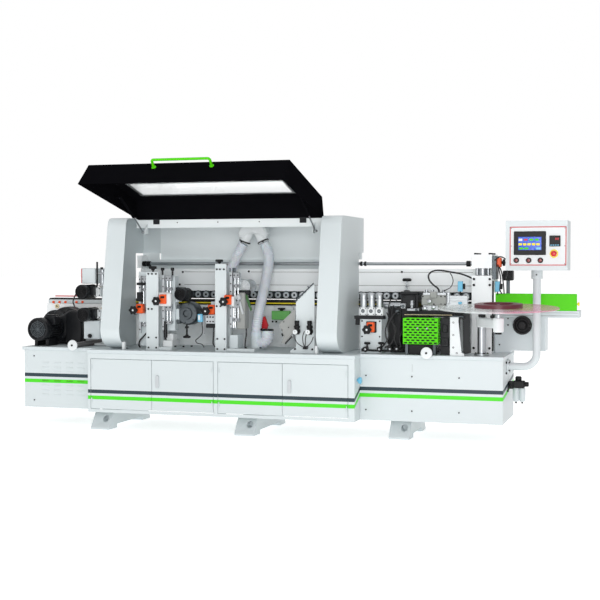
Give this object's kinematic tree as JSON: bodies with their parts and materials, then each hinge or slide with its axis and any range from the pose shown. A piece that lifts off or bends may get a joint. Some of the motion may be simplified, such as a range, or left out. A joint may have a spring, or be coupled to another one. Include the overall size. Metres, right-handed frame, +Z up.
{
  "type": "edge banding machine",
  "caption": "Long floor-standing through-feed edge banding machine with an open hood lid, chain track, tape coil stand and a swivelling control box.",
  "frame": {"origin": "centre of the whole machine's box, on the floor", "axes": "+X along the machine towards the infeed end with the control box, +Y from the operator towards the back, +Z up"},
  "size_m": [4.148, 1.42, 1.9028],
  "materials": {
    "white_paint": "semi-gloss white powder coat with fine texture",
    "light_grey_paint": "satin light grey paint",
    "black_paint": "satin black paint",
    "dark_steel": "dark grey paint, slightly worn",
    "bright_steel": "machined steel",
    "chrome_rod": "polished",
    "green_paint": "bright green semi-gloss paint",
    "clear_sheet": "clear safety sheet",
    "milky_acrylic": "milky translucent acrylic",
    "edge_tape": "wound edge tape",
    "chain_rubber": "rubber pads, matt",
    "black_plastic": "moulded",
    "red_plastic": "moulded, gloss",
    "hose_plastic": "translucent ribbed hose",
    "cable_rubber": "matt"
  },
  "bodies": {
    "base": {"main_cabinet": "white_paint", "left_cabinet": "white_paint", "right_cabinet": "white_paint", "hood_left_wing": "white_paint", "hood_right_wing": "white_paint", "track_beam": "white_paint", "lift_column": "white_paint", "trim_frame_1": "white_paint", "trim_frame_2": "white_paint", "guard_plate": "white_paint", "control_pole": "white_paint", "bed_plate": "light_grey_paint", "foot_beam_1": "light_grey_paint", "foot_beam_2": "light_grey_paint", "foot_beam_3": "light_grey_paint", "hood_top": "light_grey_paint", "infeed_housing": "light_grey_paint", "dust_manifold": "light_grey_paint", "glue_pot": "black_paint", "drive_motor": "black_paint", "drive_gearbox": "black_paint", "cutter_unit": "dark_steel", "buffing_unit": "dark_steel", "tape_magazine": "bright_steel", "press_unit": "bright_steel", "coil_post": "bright_steel", "glue_guard": "green_paint", "infeed_fence": "green_paint", "track_chain": "chain_rubber", "air_unit": "black_plastic", "dust_hose_left": "hose_plastic", "dust_hose_right": "hose_plastic", "heater_cable": "cable_rubber"},
    "door_1": {"door_1": "white_paint"},
    "door_2": {"door_2": "white_paint"},
    "door_3": {"door_3": "white_paint"},
    "door_4": {"door_4": "white_paint"},
    "latch_1": {"door_latch_1": "dark_steel"},
    "latch_2": {"door_latch_2": "dark_steel"},
    "lid": {"lid": "black_paint", "lid_window": "clear_sheet", "lid_handle": "green_paint"},
    "strut_cylinder_left": {"strut_cylinder_left": "black_paint"},
    "strut_rod_left": {"strut_rod_left": "chrome_rod"},
    "support_arm_left": {"support_arm_left": "bright_steel"},
    "strut_cylinder_right": {"strut_cylinder_right": "black_paint"},
    "strut_rod_right": {"strut_rod_right": "chrome_rod"},
    "support_arm_right": {"support_arm_right": "bright_steel"},
    "pressure_beam": {"pressure_beam": "white_paint"},
    "sync_shaft": {"sync_shaft": "bright_steel"},
    "trim_head_1": {"trim_head_1": "black_paint"},
    "trim_head_2": {"trim_head_2": "black_paint"},
    "handwheel": {"handwheel": "black_plastic"},
    "control_box": {"control_box": "white_paint"},
    "push_button_1": {"push_button_1": "red_plastic"},
    "push_button_2": {"push_button_2": "red_plastic"},
    "push_button_3": {"push_button_3": "red_plastic"},
    "emergency_stop": {"emergency_stop": "red_plastic"},
    "coil": {"coil_plate": "milky_acrylic", "tape_coil": "edge_tape"}
  },
  "joints": [
    {"name": "door_1_hinge", "type": "hinge", "parent": "base", "child": "door_1", "pos_m": [-1.363, -0.062, 0.334], "axis": [0, 0, 1], "range_deg": [-90, 0]},
    {"name": "door_2_hinge", "type": "hinge", "parent": "base", "child": "door_2", "pos_m": [-0.41, -0.062, 0.334], "axis": [0, 0, 1], "range_deg": [0, 90]},
    {"name": "door_3_hinge", "type": "hinge", "parent": "base", "child": "door_3", "pos_m": [-0.373, -0.062, 0.334], "axis": [0, 0, 1], "range_deg": [-90, 0]},
    {"name": "door_4_hinge", "type": "hinge", "parent": "base", "child": "door_4", "pos_m": [0.573, -0.062, 0.334], "axis": [0, 0, 1], "range_deg": [0, 90]},
    {"name": "latch_1_turn", "type": "hinge", "parent": "door_2", "child": "latch_1", "pos_m": [-0.837, -0.065, 0.362], "axis": [0, 1, 0], "range_deg": [0, 90]},
    {"name": "latch_2_turn", "type": "hinge", "parent": "door_4", "child": "latch_2", "pos_m": [0.156, -0.065, 0.357], "axis": [0, 1, 0], "range_deg": [0, 90]},
    {"name": "lid_hinge", "type": "hinge", "parent": "base", "child": "lid", "pos_m": [-0.404, 0.253, 1.533], "axis": [1, 0, 0], "range_deg": [0, 78]},
    {"name": "strut_left_pivot", "type": "hinge", "parent": "lid", "child": "strut_cylinder_left", "pos_m": [-1.069, -0.16, 1.68], "axis": [1, 0, 0], "range_deg": [0, 6.3]},
    {"name": "strut_left_travel", "type": "slide", "parent": "strut_cylinder_left", "child": "strut_rod_left", "axis": [0, 0.8455, -0.534], "range_m": [-0.12, 0]},
    {"name": "strut_right_pivot", "type": "hinge", "parent": "lid", "child": "strut_cylinder_right", "pos_m": [0.261, -0.16, 1.68], "axis": [1, 0, 0], "range_deg": [0, 6.3]},
    {"name": "strut_right_travel", "type": "slide", "parent": "strut_cylinder_right", "child": "strut_rod_right", "axis": [0, 0.8455, -0.534], "range_m": [-0.12, 0]},
    {"name": "beam_lift", "type": "slide", "parent": "base", "child": "pressure_beam", "axis": [0, 0, 1], "range_m": [-0.005, 0.05]},
    {"name": "shaft_turn", "type": "hinge", "parent": "pressure_beam", "child": "sync_shaft", "pos_m": [0.106, 0.595, 1.208], "axis": [1, 0, 0], "range_deg": [-16, 152]},
    {"name": "trim_1_adjust", "type": "slide", "parent": "base", "child": "trim_head_1", "axis": [0, 0, 1], "range_m": [-0.02, 0.03]},
    {"name": "trim_2_adjust", "type": "slide", "parent": "base", "child": "trim_head_2", "axis": [0, 0, 1], "range_m": [-0.02, 0.03]},
    {"name": "coil_spin", "type": "hinge", "parent": "base", "child": "coil", "pos_m": [1.594, -0.06, 0.881], "axis": [0, -0.0419, 0.9991], "continuous": true},
    {"name": "handwheel_turn", "type": "hinge", "parent": "base", "child": "handwheel", "pos_m": [1.692, 0.44, 0.782], "axis": [0, 1, 0], "continuous": true},
    {"name": "box_swivel", "type": "hinge", "parent": "base", "child": "control_box", "pos_m": [1.803, 0.312, 1.163], "axis": [0, 0, 1], "range_deg": [-40, 40]},
    {"name": "button_1_press", "type": "slide", "parent": "control_box", "child": "push_button_1", "axis": [0, 1, 0], "range_m": [0, 0.0035], "stiffness_N_per_m": 600},
    {"name": "button_2_press", "type": "slide", "parent": "control_box", "child": "push_button_2", "axis": [0, 1, 0], "range_m": [0, 0.0035], "stiffness_N_per_m": 600},
    {"name": "button_3_press", "type": "slide", "parent": "control_box", "child": "push_button_3", "axis": [0, 1, 0], "range_m": [0, 0.0035], "stiffness_N_per_m": 600},
    {"name": "stop_press", "type": "slide", "parent": "control_box", "child": "emergency_stop", "axis": [0, 1, 0], "range_m": [0, 0.0075], "stiffness_N_per_m": 900},
    {"name": "support_arm_left_pull", "type": "slide", "parent": "base", "child": "support_arm_left", "axis": [0, -1, 0], "range_m": [0, 0.3]},
    {"name": "support_arm_right_pull", "type": "slide", "parent": "base", "child": "support_arm_right", "axis": [0, -1, 0], "range_m": [0, 0.3]}
  ],
  "couplings": [
    {"joint": "strut_left_pivot", "follows": "lid_hinge", "ratio": 0.0788},
    {"joint": "strut_left_travel", "follows": "lid_hinge", "m_per_rad": -0.0872},
    {"joint": "strut_right_pivot", "follows": "lid_hinge", "ratio": 0.0788},
    {"joint": "strut_right_travel", "follows": "lid_hinge", "m_per_rad": -0.0872},
    {"joint": "shaft_turn", "follows": "beam_lift", "rad_per_m": 52.632}
  ]
}
